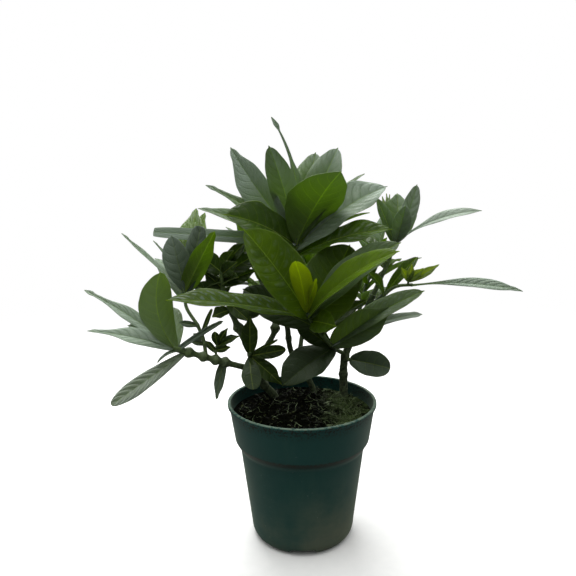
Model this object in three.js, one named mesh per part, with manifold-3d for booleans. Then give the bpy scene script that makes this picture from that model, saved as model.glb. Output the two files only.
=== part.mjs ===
// Potted gardenia: three rooted cuttings in a moulded nursery pot.
// Millimetres, +Z up. The origin is on the ground, at the middle of the pot's foot.
// The front of the plant faces -Y. Each leafy shoot is one solid of its stem and leaves.

import * as THREE from 'three';
import { mergeVertices } from 'three/addons/utils/BufferGeometryUtils.js';
import Module from 'manifold-3d';

const wasm = await Module();
wasm.setup();

const gap = 0.3; // left between pieces that touch

// Pot
const potHeight = 146;
const potSides = 40;
const wall = 1.6;
const rimRadius = 76.8;
const lipHeight = 3.2;
const collarTopRadius = 75;
const collarFootRadius = 69.7;
const collarFootHeight = 107;
const bodyTopRadius = 64.4;
const bodyTopHeight = 98;
const bodyFootRadius = 54;
const filletHeight = 14;
const filletSteps = 3;
const footRadius = 44;
const channelCount = 4;
const channelWidth = 32;
const channelHeight = 7;
const channelInnerRadius = 29;
const channelOuterRadius = 56; // past the foot
const drainHoleRadius = 4;
const drainHoleRing = 37;
const drainHoleSides = 12;

// Potting mix
const soilHeight = 133;
const soilFootHeight = 9.4;
const soilRings = 4;
const mound = 3;
const lumpHeight = 2.6;
const lumpWaves = [5.1, 4.3, 3.7];

// Leaves
const bladeThickness = 0.8;
const bladeFold = THREE.MathUtils.degToRad(17);
const neckLength = 0.28; // the share of a leaf's length over which it draws in to its tip
const closerRows = 0.09; // how far a blade's rows move towards its ends
const shortBlade = 30; // the lengths at which a blade gets one more step along it
const longBlade = 70;
const goldenAngle = 137.5;
const goldenShare = 0.618;
const usualArch = 0.05; // rise of the midrib, as a share of the leaf's length
const topLeafRise = 68; // degrees above level
const lowLeafRise = 12;
const sizeSpread = 0.2;
const innerLoss = 0.4; // how much shorter the leaves are that point into the plant

// Stems
const rootHeight = 110; // the trunks' lower ends, inside the potting mix
const trunkSides = 8;
const stemSides = 6;

// Colours and roughness
const potGreen = 0x1f3a35;
const peatBrown = 0x231c17;
const barkBrown = 0x5a5a45;
const leafGreen = 0x3c641c;
const darkLeafGreen = 0x274717;
const brightLeafGreen = 0x55771a;
const newLeafGreen = 0x8aa83c;
const plasticRoughness = 0.45;
const peatRoughness = 0.95;
const barkRoughness = 0.8;
const leafRoughness = 0.35;

function solidOf(geometry) {
  const bare = geometry.clone();
  bare.deleteAttribute('normal');
  bare.deleteAttribute('uv');
  const merged = mergeVertices(bare, 1e-4);
  const corners = merged.index.array;
  const kept = [];
  for (let i = 0; i < corners.length; i += 3) {
    const [a, b, c] = [corners[i], corners[i + 1], corners[i + 2]];
    if (a !== b && b !== c && c !== a) {
      kept.push(a, b, c);
    }
  }
  return new wasm.Manifold(new wasm.Mesh({
    numProp: 3,
    vertProperties: merged.attributes.position.array,
    triVerts: new Uint32Array(kept),
  }));
}

function geometryOf(solid) {
  const mesh = solid.getMesh();
  const geometry = new THREE.BufferGeometry();
  geometry.setAttribute('position', new THREE.BufferAttribute(mesh.vertProperties, 3));
  geometry.setIndex(new THREE.BufferAttribute(mesh.triVerts, 1));
  geometry.computeVertexNormals();
  return geometry;
}

function fuse(solids) {
  return solids.reduce((whole, solid) => whole.add(solid));
}

function vector(place) {
  return new THREE.Vector3(...place);
}

function named(name, solid, color, roughness) {
  const material = new THREE.MeshStandardMaterial({ color, roughness, metalness: 0 });
  const mesh = new THREE.Mesh(geometryOf(solid), material);
  mesh.name = name;
  return mesh;
}

// A turned shape from its outline, given as [radius, height] from the axis and back to it
function turned(outline, sides) {
  const points = outline.map(([radius, height]) => new THREE.Vector2(radius, height));
  const geometry = new THREE.LatheGeometry(points, sides);
  geometry.rotateX(Math.PI / 2);
  return solidOf(geometry);
}

// The pot's side from the middle of its foot up to the lip: a rounded corner, a tapered body, a
// shoulder and a collar. The inset takes it inwards, and the floor is how high it starts.
function potWall(inset, floor) {
  const outline = [[0, floor]];
  for (let i = 0; i <= filletSteps; i += 1) {
    const turn = (Math.PI / 2) * (i / filletSteps);
    outline.push([
      footRadius - inset + (bodyFootRadius - footRadius) * Math.sin(turn),
      floor + filletHeight * (1 - Math.cos(turn)),
    ]);
  }
  outline.push(
    [bodyTopRadius - inset, bodyTopHeight],
    [collarFootRadius - inset, collarFootHeight],
    [collarTopRadius - inset, potHeight - lipHeight],
  );
  return outline;
}

// A radial channel under the pot's foot. With cover, it is the hump over that channel inside.
function footChannel(cover) {
  const box = new THREE.BoxGeometry(
    channelOuterRadius - channelInnerRadius + cover,
    channelWidth + 2 * cover,
    2 * (channelHeight + cover),
  );
  return solidOf(box.translate((channelOuterRadius + channelInnerRadius - cover) / 2, 0, 0));
}

// Pot: a thin moulded wall with a lip, channels under its foot, and drain holes
function makePot() {
  const lipFoot = potHeight - lipHeight;
  const shell = turned([
    ...potWall(0, 0),
    [rimRadius, lipFoot],
    [rimRadius, potHeight],
    [0, potHeight],
  ], potSides);
  const aboveRim = potHeight + gap;
  const hollow = turned([
    ...potWall(wall, wall),
    [collarTopRadius - wall, aboveRim],
    [0, aboveRim],
  ], potSides);
  const turns = Array.from({ length: channelCount }, (_, i) => (360 / channelCount) * i);
  let pot = shell.subtract(hollow);
  for (const turn of turns) {
    pot = pot.add(footChannel(wall).rotate([0, 0, turn]).intersect(shell));
  }
  const radii = [drainHoleRadius, drainHoleRadius];
  const drain = new THREE.CylinderGeometry(...radii, 2 * filletHeight, drainHoleSides);
  drain.rotateX(Math.PI / 2);
  drain.translate(drainHoleRing, 0, 0);
  for (const turn of turns) {
    pot = pot.subtract(footChannel(0).rotate([0, 0, turn]));
    pot = pot.subtract(solidOf(drain).rotate([0, 0, turn]));
    pot = pot.subtract(solidOf(drain).rotate([0, 0, turn + 180 / channelCount]));
  }
  return pot;
}

// A round stem of falling radius that follows a curve through the given places
function stemSolid(places, [startRadius, endRadius], sides, extra) {
  const curve = new THREE.CatmullRomCurve3(places.map(vector));
  const steps = 2 * (places.length - 1);
  const frames = curve.computeFrenetFrames(steps, false);
  const geometry = new THREE.CylinderGeometry(1, 1, 1, sides, steps);
  const point = geometry.attributes.position;
  for (let i = 0; i < point.count; i += 1) {
    const step = Math.round((point.getY(i) + 0.5) * steps);
    const along = step / steps;
    const radius = THREE.MathUtils.lerp(startRadius, endRadius, along) + extra;
    const place = curve.getPointAt(along)
      .addScaledVector(frames.normals[step], radius * point.getX(i))
      .addScaledVector(frames.binormals[step], -radius * point.getZ(i));
    point.setXYZ(i, place.x, place.y, place.z);
  }
  return solidOf(geometry);
}

// The outlines that a leaf can have. Belly moves its widest place towards the tip, fullness
// squares its ends, and from neckAt on it draws in by the share given as neck.
const pointed = { belly: 1.1, fullness: 0.5, neck: 0.5, neckAt: 0.66 };
const tapered = { belly: 1.05, fullness: 0.56, neck: 0.55, neckAt: 0.52 };
const tailed = { belly: 0.95, fullness: 0.6, neck: 0.76, neckAt: 0.36 };
const blunt = { belly: 1.3, fullness: 0.44, neck: 0.3, neckAt: 0.76 };
const rounded = { belly: 1.6, fullness: 0.44, neck: 0, neckAt: 0.7 };
const strap = { belly: 1, fullness: 0.28, neck: 0.3, neckAt: 0.8 };
const squared = { belly: 1, fullness: 0.1, neck: 0, neckAt: 0.8 };
const stalked = { belly: 1.7, fullness: 1.1, neck: 0.3, neckAt: 0.8 };
const lance = { belly: 0.8, fullness: 0.5, neck: 0.3, neckAt: 0.6 };

// How wide a leaf is along its length, as a share of its widest
function shareOfWidth(along, { belly, fullness, neck, neckAt }) {
  const drawnIn = neck * THREE.MathUtils.smoothstep(along, neckAt, neckAt + neckLength);
  return Math.sin(Math.PI * along ** belly) ** fullness * (1 - drawnIn);
}

// A leaf blade: two matching faces with a thin edge between them, folded along the midrib.
// Its upper face is turned towards the direction given as facing, and bend curves it sideways.
function bladeSolid(base, tip, width, arch, facing, form = pointed) {
  const { bend = 0, fold = bladeFold } = form;
  const reach = new THREE.Vector3().subVectors(tip, base);
  const length = reach.length();
  const forward = reach.clone().normalize();
  const across = new THREE.Vector3().crossVectors(vector(facing), forward).normalize();
  const face = new THREE.Vector3().crossVectors(forward, across);
  const steps = 3 + (length > shortBlade) + (length > longBlade);
  const ring = [[-1, 0], [0, 0], [1, 0], [1, 1], [0, 1], [-1, 1]];
  const places = [];
  for (let i = 0; i <= steps; i += 1) {
    const along = i / steps - closerRows * Math.sin((2 * Math.PI * i) / steps);
    const half = (width / 2) * (i === 0 || i === steps ? 0 : shareOfWidth(along, form));
    const bow = 4 * along * (1 - along);
    for (const [side, under] of ring) {
      const lift = arch * length * bow
        + Math.abs(side) * half * Math.sin(fold)
        - under * bladeThickness;
      const place = base.clone()
        .addScaledVector(reach, along)
        .addScaledVector(across, side * half * Math.cos(fold) + bend * length * bow)
        .addScaledVector(face, lift);
      places.push(place.x, place.y, place.z);
    }
  }
  const corners = [];
  for (let i = 0; i < steps; i += 1) {
    for (let j = 0; j < ring.length; j += 1) {
      const k = (j + 1) % ring.length;
      const [a, b] = [i * ring.length + j, i * ring.length + k];
      const [c, d] = [b + ring.length, a + ring.length];
      if (j < 3) {
        corners.push(a, c, b, a, d, c);
      } else {
        corners.push(a, d, b, b, d, c);
      }
    }
  }
  const geometry = new THREE.BufferGeometry();
  geometry.setAttribute('position', new THREE.Float32BufferAttribute(places, 3));
  geometry.setIndex(corners);
  return solidOf(geometry);
}

// The ways that a leaf's upper face can look
const sky = [0, 0, 1];
const front = [0, -1, 0.35];
const back = [0, 1, 0.35];
const skyFront = [0, -0.7, 1];
const skyBack = [0, 0.7, 1];
const frontLeft = [-0.7, -0.7, 0.4];

// Leaves that follow a rule: whorl under whorl down the stem, the top ones nearly upright
function whorls({ from, to, count, turn, outward, length, width }, places) {
  const curve = new THREE.CatmullRomCurve3(places.map(vector));
  const leaves = [];
  for (let i = 0; i < count; i += 1) {
    const down = i / (count - 1);
    const along = THREE.MathUtils.lerp(to, from, down);
    const azimuth = THREE.MathUtils.degToRad(turn + i * goldenAngle);
    const rise = THREE.MathUtils.degToRad(THREE.MathUtils.lerp(topLeafRise, lowLeafRise, down));
    const shade = 0.5 - 0.5 * Math.cos(azimuth - THREE.MathUtils.degToRad(outward));
    const size = (1 - sizeSpread * ((i * goldenShare) % 1)) * (1 - innerLoss * shade);
    const reach = new THREE.Vector3(
      Math.cos(azimuth) * Math.cos(rise),
      Math.sin(azimuth) * Math.cos(rise),
      Math.sin(rise),
    );
    const tip = curve.getPointAt(along).addScaledVector(reach, length * size);
    leaves.push([along, tip.toArray(), width * size, usualArch, sky]);
  }
  return leaves;
}

// A leafy shoot. Each leaf is [place along the stem, tip, width, arch, facing, form].
// A shoot that grows from the side of another stem starts on that stem's axis, and its foot
// is cut to a saddle round it.
function shootSolid({ places, radius, leaves, ruled = [], carrier }) {
  const curve = new THREE.CatmullRomCurve3(places.map(vector));
  const all = [...leaves, ...ruled.flatMap((rule) => whorls(rule, places))];
  const blades = all.map(([along, tip, ...form]) => (
    bladeSolid(curve.getPointAt(along), vector(tip), ...form)
  ));
  const whole = fuse([stemSolid(places, radius, stemSides, 0), ...blades]);
  if (!carrier) {
    return whole;
  }
  const stem = [...trunks, ...shoots].find(({ name }) => name === carrier);
  return whole.subtract(stemSolid(stem.places, stem.radius, trunkSides, gap));
}

const shoots = [
  {
    name: 'shoot_crown',
    color: leafGreen,
    places: [[-15.1, 24.6, 219.7], [-10, 16, 246], [-6, 8, 281], [-4, 0, 314]],
    radius: [2.8, 1.8],
    leaves: [
      [0.97, [-71, 28, 403], 34, 0.05, frontLeft],
      [0.95, [-29, -22, 402], 28, 0.04, back, { ...blunt, belly: 1.15 }],
      [0.99, [-28, 24, 432], 17, 0.04, [0.4, -1, 0.1], { ...tailed, bend: -0.08 }],
      [0.96, [16, 35, 398], 36, 0.04, front, { ...blunt, belly: 1.1 }],
      [0.98, [38, 22, 402], 34, 0.06, front, blunt],
      [0.94, [37, -42, 379], 58, 0.06, [-0.3, 1, 0.7],
        { ...pointed, fullness: 0.66, neck: 0.5, neckAt: 0.78, fold: 0.2 }],
      [0.9, [-70, -35, 340], 44, 0.08, [0, -1, 1], blunt],
      [0.92, [-96, 25, 366], 20, 0.04, skyFront, tapered],
      [0.88, [-101, 5, 345], 22, 0.05, skyFront],
      [0.87, [86, 15, 364], 46, 0.08, skyFront, blunt],
      [0.8, [86, -25, 324], 31, 0.08, skyFront, blunt],
      [0.85, [67, 50, 376], 24, 0.05, sky],
      [0.82, [70, 28, 338], 30, 0.06, sky],
      [0.9, [-10, 95, 368], 36, 0.06, sky],
      [0.97, [-155, 35, 318], 13, 0.02, front, { ...squared, fold: 0.1 }],
    ],
  },
  {
    name: 'shoot_front',
    color: brightLeafGreen,
    carrier: 'trunk_right',
    places: [[47, 33, 184], [34, 17, 196], [17, -12, 223], [6, -38, 245]],
    radius: [2.4, 1.8],
    leaves: [
      [0.95, [-118, -78, 270], 31, 0.02, [0, -0.45, 1], blunt],
      [0.97, [80, -95, 313], 32, 0.06, skyFront, { ...blunt, belly: 1.1 }],
      [0.93, [91, -40, 314], 34, 0.06, skyFront, blunt],
      [0.94, [-49, -66, 329], 50, 0.05, [0.6, -0.8, 0.15], blunt],
      [0.9, [49, 0, 307], 60, 0.05, front, { ...blunt, belly: 0.8 }],
      [0.85, [30, -70, 242], 24, 0.05, front, blunt],
      [0.26, [-3, 5, 226], 22, 0.05, front, rounded],
      [0.28, [121, -10, 262], 27, 0.05, skyFront, blunt],
      [0.31, [91, -5, 244], 34, 0.04, front],
      [0.24, [-19, -35, 174], 40, 0.06, skyFront, blunt],
      [0.55, [62, -34, 258], 24, 0.05, skyFront],
      [0.6, [44, 14, 258], 24, 0.05, front],
      [0.3, [124, 10, 234], 11, 0.12, skyFront, strap],
      [0.7, [-60, 8, 262], 32, 0.05, front, blunt],
    ],
  },
  {
    name: 'shoot_left',
    color: leafGreen,
    carrier: 'shoot_far_left',
    places: [[-96, -10, 195], [-99, -7, 212], [-104, -6, 226], [-116, -2, 246], [-116, 2, 264]],
    radius: [2, 1.6],
    leaves: [
      [0.97, [-80, -28, 325], 22, -0.03, back, { ...lance, fullness: 0.46 }],
      [0.96, [-127, -4, 318], 28, 0.05, front, blunt],
      [0.9, [-99, 2, 326], 21, 0.03, front, { ...rounded, fullness: 0.3 }],
      [0.99, [-184, 25, 319], 10, -0.04, sky],
      [0.92, [-147, 5, 312], 11, 0.04, sky],
      [0.94, [-115, 72, 342], 30, 0.05, front],
      [0.9, [-104, 66, 336], 26, 0.05, front],
      [0.85, [-160, 60, 288], 32, 0.05, sky],
      [0.45, [-124, -4, 230], 7, 0.05, front],
      [0.25, [-109, -8, 219], 8, 0.05, front],
      [0.18, [-111, -14, 212], 6, 0.05, front],
      [0.3, [-90, 0, 243], 5, 0.02, front, strap],
    ],
  },
  {
    name: 'shoot_mid_left',
    color: darkLeafGreen,
    places: [[-54.3, 17.9, 193.7], [-70, 18, 228], [-80, 12, 262], [-80, 10, 284]],
    radius: [4, 1.5],
    leaves: [
      [0.98, [-67, 2, 302], 16, 0.04, skyBack],
      [0.94, [-104, 18, 296], 22, 0.05, front],
      [0.9, [-44, 20, 296], 22, 0.05, front],
      [0.85, [-105, 28, 258], 24, 0.05, skyFront],
      [0.8, [-62, -6, 276], 18, 0.05, skyFront],
      [0.75, [-58, 54, 258], 28, 0.05, sky],
      [0.7, [-100, 66, 258], 28, 0.05, sky],
      [0.6, [-52, 4, 228], 18, 0.05, skyFront],
      [0.5, [-92, 8, 232], 16, 0.05, skyFront],
      [0.88, [-102, 40, 286], 22, 0.05, skyFront],
      [0.92, [-62, -12, 292], 16, 0.05, front],
      [0.45, [-38, 30, 240], 22, 0.05, front],
      [0.97, [-55, 20, 309], 14, 0.05, front],
      [0.82, [-46, 13, 280], 18, 0.05, front],
      [0.75, [-99, 14, 278], 14, 0.05, front],
      [0.7, [-113, 12, 265], 16, 0.05, front],
    ],
  },
  {
    name: 'shoot_far_left',
    color: brightLeafGreen,
    carrier: 'trunk_left',
    places: [[-47, 22, 170], [-68, 9, 180], [-93, -8, 193], [-126, -28, 210]],
    radius: [3.3, 2.6],
    leaves: [
      [0.97, [-129, -50, 290], 34, 0.04, [-0.42, 0.9, 0.35], { ...blunt, bend: -0.11 }],
      [0.96, [-217, -5, 265], 15, 0.06, skyFront, tapered],
      [0.98, [-202, -45, 233], 21, 0.04, skyFront, tapered],
      [0.85, [-183, -50, 160], 17, 0.06, front, rounded],
      [0.92, [-171, -20, 232], 18, 0.08, skyFront, blunt],
      [0.94, [-77, -16, 234], 6, 0.04, front, strap],
      [0.42, [-87, -12, 150], 11, 0.06, front, lance],
      [0.9, [-139, -40, 199], 7, 0.12, sky, blunt],
      [0.97, [-150, 45, 240], 26, 0.05, sky],
    ],
  },
  {
    name: 'twig_low_left',
    color: darkLeafGreen,
    carrier: 'trunk_left',
    places: [[-52, 19, 185], [-54, 10, 189], [-53, 6, 195]],
    radius: [2, 1.6],
    leaves: [
      [0.9, [-52, 3, 234], 18, 0.04, front],
      [0.7, [-16, -5, 201], 14, 0.05, front, rounded],
      [0.8, [-24, 8, 208], 4, 0.04, front, strap],
      [0.6, [-49, -14, 162], 20, 0.06, front, { ...rounded, fold: 0 }],
      [0.7, [-20, -4, 163], 18, 0.06, front],
    ],
  },
  {
    name: 'twig_left',
    color: darkLeafGreen,
    carrier: 'shoot_far_left',
    places: [[-86, -3, 189.5], [-88, 1, 199], [-86, 4, 205]],
    radius: [1.6, 1.2],
    leaves: [
      [0.9, [-88, -2, 219], 9, 0.05, front, rounded],
      [0.8, [-63, 5, 213], 12, 0.05, skyFront],
      [0.95, [-75, 2, 222], 8, 0.05, front],
      [0.6, [-72, -2, 203], 8, 0.05, front],
      [0.5, [-99, 2, 209], 7, 0.05, front],
    ],
  },
  {
    name: 'twig_low_right',
    color: darkLeafGreen,
    carrier: 'trunk_right',
    places: [[47, 33, 177], [50, 26, 180], [52, 20, 182]],
    radius: [2, 1.8],
    leaves: [
      [0.8, [91, 2, 178], 28, 0.08, front, { ...rounded, belly: 1.4, fullness: 0.38 }],
    ],
  },
  {
    name: 'shoot_right',
    color: leafGreen,
    places: [[76.3, 32, 249.7], [86, 32, 272], [100, 28, 308]],
    radius: [2.6, 1.6],
    leaves: [
      [0.98, [181, 15, 338], 15, 0.09, skyFront, { ...stalked, neck: 0 }],
      [0.97, [114, 5, 364], 17, 0.04, front, { ...blunt, fullness: 0.36 }],
      [0.95, [102, -2, 344], 19, 0.04, front, blunt],
      [0.96, [102, 50, 355], 38, 0.04, front],
      [0.9, [77, 25, 351], 16, 0.04, [0.5, -1, 0.2], blunt],
      [0.6, [50, 62, 314], 32, 0.05, sky],
      [0.5, [100, 58, 284], 26, 0.05, sky],
    ],
  },
  {
    name: 'shoot_low_right',
    color: leafGreen,
    carrier: 'trunk_right',
    places: [[69, 32, 233], [84, 24, 249], [98, 21, 260], [114, 15, 263]],
    radius: [2.2, 1.5],
    leaves: [
      [0.98, [223, 5, 258], 16, 0.04, skyFront, stalked],
      [0.5, [123, 36, 289], 14, 0.06, skyFront, blunt],
      [0.45, [70, 12, 276], 14, 0.06, skyFront, blunt],
    ],
  },
  {
    name: 'shoot_back_left',
    color: leafGreen,
    carrier: 'trunk_left',
    places: [[-48, 21, 172], [-38, 28, 193], [-28, 34, 214], [-42, 58, 254], [-56, 80, 288]],
    radius: [3.4, 1.6],
    leaves: [],
    ruled: [{ from: 0.55, to: 0.98, count: 9, turn: 90, outward: 120, length: 84, width: 34 }],
  },
  {
    name: 'shoot_back',
    color: leafGreen,
    carrier: 'trunk_middle',
    places: [[-4, 41, 171], [-1, 52, 188], [3, 68, 212], [8, 92, 246], [14, 108, 268]],
    radius: [2.8, 1.6],
    leaves: [],
    ruled: [{ from: 0.6, to: 0.98, count: 10, turn: 75, outward: 90, length: 80, width: 34 }],
  },
  {
    name: 'shoot_back_right',
    color: leafGreen,
    carrier: 'trunk_right',
    places: [[47, 34, 176], [53, 43, 193], [62, 58, 218], [74, 78, 251], [84, 92, 276]],
    radius: [2.8, 1.6],
    leaves: [],
    ruled: [{ from: 0.55, to: 0.98, count: 9, turn: 20, outward: 45, length: 80, width: 32 }],
  },
  {
    name: 'new_growth_front',
    color: newLeafGreen,
    carrier: 'shoot_front',
    places: [[6, -38, 245], [5, -42, 250]],
    radius: [1.2, 0.9],
    leaves: [
      [0.9, [-5, -76, 302], 20, 0.03, back, blunt],
      [0.8, [14, -62, 284], 9, 0.03, back],
    ],
  },
  {
    name: 'new_growth_right',
    color: newLeafGreen,
    carrier: 'shoot_right',
    places: [[93, 30, 292], [96, 43, 306], [92, 48, 330]],
    radius: [1.2, 0.9],
    leaves: [
      [0.95, [86, 48, 352], 5, 0.03, front],
      [0.98, [91, 52, 355], 4, 0.03, front],
      [0.98, [95, 54, 354], 4, 0.03, front],
    ],
  },
  {
    name: 'new_growth_low_right',
    color: newLeafGreen,
    carrier: 'shoot_low_right',
    places: [[110, 17, 263], [109, 12, 268]],
    radius: [1.3, 1],
    leaves: [
      [0.9, [101, 8, 282], 7, 0.05, front],
      [0.95, [111, 4, 286], 8, 0.05, front],
      [0.9, [122, 2, 282], 9, 0.05, front],
      [0.85, [137, 0, 286], 9, 0.04, front],
    ],
  },
];

// Woody trunks, from below the top of the potting mix
const trunks = [
  {
    name: 'trunk_left',
    places: [[-29, 36, rootHeight], [-29, 36, soilHeight], [-42, 27, 154], [-48, 21, 172], [-54, 18, 193]],
    radius: [4.6, 4],
  },
  {
    name: 'trunk_middle',
    places: [[14, 52, rootHeight], [14, 54, soilHeight], [2, 46, 161], [-11, 36, 186], [-15, 25, 219]],
    radius: [3.6, 2.8],
  },
  {
    name: 'trunk_right',
    places: [[44, 38, rootHeight], [46, 40, soilHeight], [47, 33, 182], [60, 31, 212], [76, 32, 249]],
    radius: [5, 3.2],
  },
];

// Rises and hollows in the top of the potting mix, from 1 to -1
function lumps(x, y) {
  const [a, b, c] = lumpWaves;
  return (Math.sin(x / a + 1) * Math.cos(y / b) + Math.sin((x + y) / c)) / 2;
}

// Potting mix: it fills the pot to a low mound with a lumpy top, and has a hole for each trunk
function makeSoil() {
  const inset = wall + gap;
  const share = (soilHeight - collarFootHeight) / (potHeight - lipHeight - collarFootHeight);
  const topRadius = THREE.MathUtils.lerp(collarFootRadius, collarTopRadius, share) - inset;
  const outline = potWall(inset, soilFootHeight).slice(0, -1);
  for (let i = 0; i <= soilRings; i += 1) {
    outline.push([topRadius * (1 - i / soilRings), soilHeight]);
  }
  const points = outline.map(([radius, height]) => new THREE.Vector2(radius, height));
  const geometry = new THREE.LatheGeometry(points, potSides);
  geometry.rotateX(Math.PI / 2);
  const point = geometry.attributes.position;
  for (let i = 0; i < point.count; i += 1) {
    if (point.getZ(i) > soilHeight - gap) {
      const [x, y] = [point.getX(i), point.getY(i)];
      const inward = Math.max(0, 1 - Math.hypot(x, y) / topRadius);
      const calm = Math.min(1, soilRings * inward); // no lumps at the wall
      point.setZ(i, soilHeight + mound * inward + lumpHeight * calm * lumps(x, y));
    }
  }
  const holes = trunks.map(({ places: [foot, ...rest], radius: [startRadius] }) => (
    stemSolid([[foot[0], foot[1], foot[2] - gap], ...rest], [startRadius, startRadius], trunkSides, gap)
  ));
  return holes.reduce((soil, hole) => soil.subtract(hole), solidOf(geometry));
}

const plant = new THREE.Group();
plant.add(named('pot', makePot(), potGreen, plasticRoughness));
plant.add(named('soil', makeSoil(), peatBrown, peatRoughness));
for (const { name, places, radius } of trunks) {
  plant.add(named(name, stemSolid(places, radius, trunkSides, 0), barkBrown, barkRoughness));
}
for (const shoot of shoots) {
  plant.add(named(shoot.name, shootSolid(shoot), shoot.color, leafRoughness));
}

export default plant;
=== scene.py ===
# A potted gardenia: the finish of its pot, potting mix, stems and leaves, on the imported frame

import math
import random

import bpy
import numpy
from mathutils import Matrix, Vector, noise
from mathutils.geometry import interpolate_bezier


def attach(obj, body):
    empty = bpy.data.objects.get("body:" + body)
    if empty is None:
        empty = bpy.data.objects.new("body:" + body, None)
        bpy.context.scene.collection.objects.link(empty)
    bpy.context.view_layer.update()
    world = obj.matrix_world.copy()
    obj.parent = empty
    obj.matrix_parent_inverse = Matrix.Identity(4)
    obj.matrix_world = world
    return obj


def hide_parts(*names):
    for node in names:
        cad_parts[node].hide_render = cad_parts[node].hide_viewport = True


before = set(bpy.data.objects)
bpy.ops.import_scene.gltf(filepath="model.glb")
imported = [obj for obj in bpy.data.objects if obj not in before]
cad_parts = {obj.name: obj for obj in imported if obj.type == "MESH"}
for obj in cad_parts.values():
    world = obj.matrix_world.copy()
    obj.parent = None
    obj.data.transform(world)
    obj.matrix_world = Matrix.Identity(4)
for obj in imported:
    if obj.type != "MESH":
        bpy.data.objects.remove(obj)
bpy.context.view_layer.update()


# The camera stands where the photograph was taken, level with the crown and looking a little
# down. Its place and turn were found from the pot's rim and foot in the photograph.
photo_pixels = 576
focal_pixels = 600
sensor_width = 36
eye = (0, -0.591, 0.374)
pitch, yaw, roll = (math.radians(angle) for angle in (10.6, -1.26, -0.67))
camera = bpy.data.objects.new("camera", bpy.data.cameras.new("camera"))
camera.data.sensor_width = sensor_width
camera.data.lens = sensor_width * focal_pixels / photo_pixels
camera.matrix_world = (Matrix.Translation(eye) @ Matrix.Rotation(-yaw, 4, "Z")
                       @ Matrix.Rotation(math.pi / 2 - pitch, 4, "X") @ Matrix.Rotation(roll, 4, "Z"))
bpy.context.collection.objects.link(camera)
bpy.context.scene.camera = camera


# The floor is a round sheet of pale card that fades into the white room, so no edge of it shows.
# The room is white, and most of its light comes from above and from behind the plant.
class Wire:
    """One socket of a node tree. Sums on it add Math nodes, and add brings any other node."""

    def __init__(self, tree, socket=None):
        self.tree = tree
        self.socket = socket

    def __getitem__(self, name):
        return Wire(self.tree, self.socket.node.outputs[name])

    def add(self, kind, inputs=None, **settings):
        """A new node of this kind with its settings, and with values or wires on its inputs"""
        node = self.tree.nodes.new(kind)
        for name, value in settings.items():
            setattr(node, name, value)
        for name, value in (inputs or {}).items():
            for part in value if isinstance(value, list) else [value]:
                if isinstance(part, Wire):
                    self.tree.links.new(part.socket, node.inputs[name])
                else:
                    node.inputs[name].default_value = part
        shown = [socket for socket in node.outputs if socket.enabled]
        return Wire(self.tree, shown[0] if shown else None)

    def of(self, operation, *others):
        """A sum on this value and others: Vector Math if one of them is a vector, or else Math"""
        values = [self, *others]
        vectors = [value for value in values if isinstance(value, Vector)
                   or isinstance(value, Wire) and value.socket.type in ("VECTOR", "RGBA")]
        if not vectors:
            return self.add("ShaderNodeMath", dict(enumerate(values)), operation=operation)
        if operation == "MULTIPLY" and len(vectors) == 1:
            factor = next(value for value in values if value is not vectors[0])
            return self.add("ShaderNodeVectorMath", {0: vectors[0], "Scale": factor}, operation="SCALE")
        return self.add("ShaderNodeVectorMath", dict(enumerate(values)), operation=operation)

    def ramp(self, low, high):
        """From 0 to 1, with a soft start and end, as this value goes from low to high"""
        inputs = {"Value": self, "From Min": low, "From Max": high}
        return self.add("ShaderNodeMapRange", inputs, interpolation_type="SMOOTHSTEP")

    def axes(self):
        """The X, Y and Z of this vector"""
        return self.add("ShaderNodeSeparateXYZ", {0: self})

    def at_least(self, low):
        return self.of("MAXIMUM", low)

    def at_most(self, high):
        return self.of("MINIMUM", high)

    def __add__(self, other):
        return self.of("ADD", other)

    def __sub__(self, other):
        return self.of("SUBTRACT", other)

    def __rsub__(self, other):
        return self.add("ShaderNodeMath", {0: other, 1: self}, operation="SUBTRACT")

    def __mul__(self, other):
        return self.of("MULTIPLY", other)

    def __truediv__(self, other):
        return self.of("DIVIDE", other)

    def __pow__(self, other):
        return self.of("POWER", other)

    __radd__ = __add__
    __rmul__ = __mul__


def tint(code):
    """A colour as painters of screens write it, as the light that it stands for"""
    shares = [(code >> shift & 255) / 255 for shift in (16, 8, 0)]
    return (*(((s + 0.055) / 1.055) ** 2.4 if s > 0.04045 else s / 12.92 for s in shares), 1)


def blend(share, first, second):
    """Two colours mixed, with more of the second as the share goes from 0 to 1"""
    first, second = (tint(colour) if isinstance(colour, int) else colour for colour in (first, second))
    return share.add("ShaderNodeMix", {0: share, 6: first, 7: second}, data_type="RGBA")


def mottle(place, scale, detail, roughness=0.5, **settings):
    """Soft random patches over a place, finer as the scale goes up"""
    inputs = {"Vector": place, "Scale": scale, "Detail": detail, "Roughness": roughness}
    return place.add("ShaderNodeTexNoise", inputs, **settings)


def new_finish(name):
    """An empty material, and the wire of the place on its piece, to start its nodes from"""
    material = bpy.data.materials.new(name)
    material.use_nodes = True
    material.node_tree.nodes.clear()
    return material, Wire(material.node_tree).add("ShaderNodeTexCoord")["Object"]


def link_piece(name, mesh):
    """A new object at the origin that holds this mesh"""
    piece = bpy.data.objects.new(name, mesh)
    bpy.context.collection.objects.link(piece)
    return piece


def turned(name, outline, sides):
    """A turned shape from its outline, which starts and ends on the axis"""
    points = []
    rings = []
    for radius, height in outline:
        count = sides if radius > 0 else 1
        rings.append([len(points) + i for i in range(count)])
        for i in range(count):
            turn = 2 * math.pi * i / sides
            points.append(Vector((radius * math.cos(turn), radius * math.sin(turn), height)) * mm)
    faces = []
    for lower, upper in zip(rings, rings[1:]):
        for i in range(sides):
            k = (i + 1) % sides
            face = [ring[j % len(ring)] for ring, j in ((lower, i), (lower, k), (upper, k), (upper, i))]
            faces.append(list(dict.fromkeys(face)))
    mesh = bpy.data.meshes.new(name)
    mesh.from_pydata(points, [], faces)
    return mesh


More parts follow.
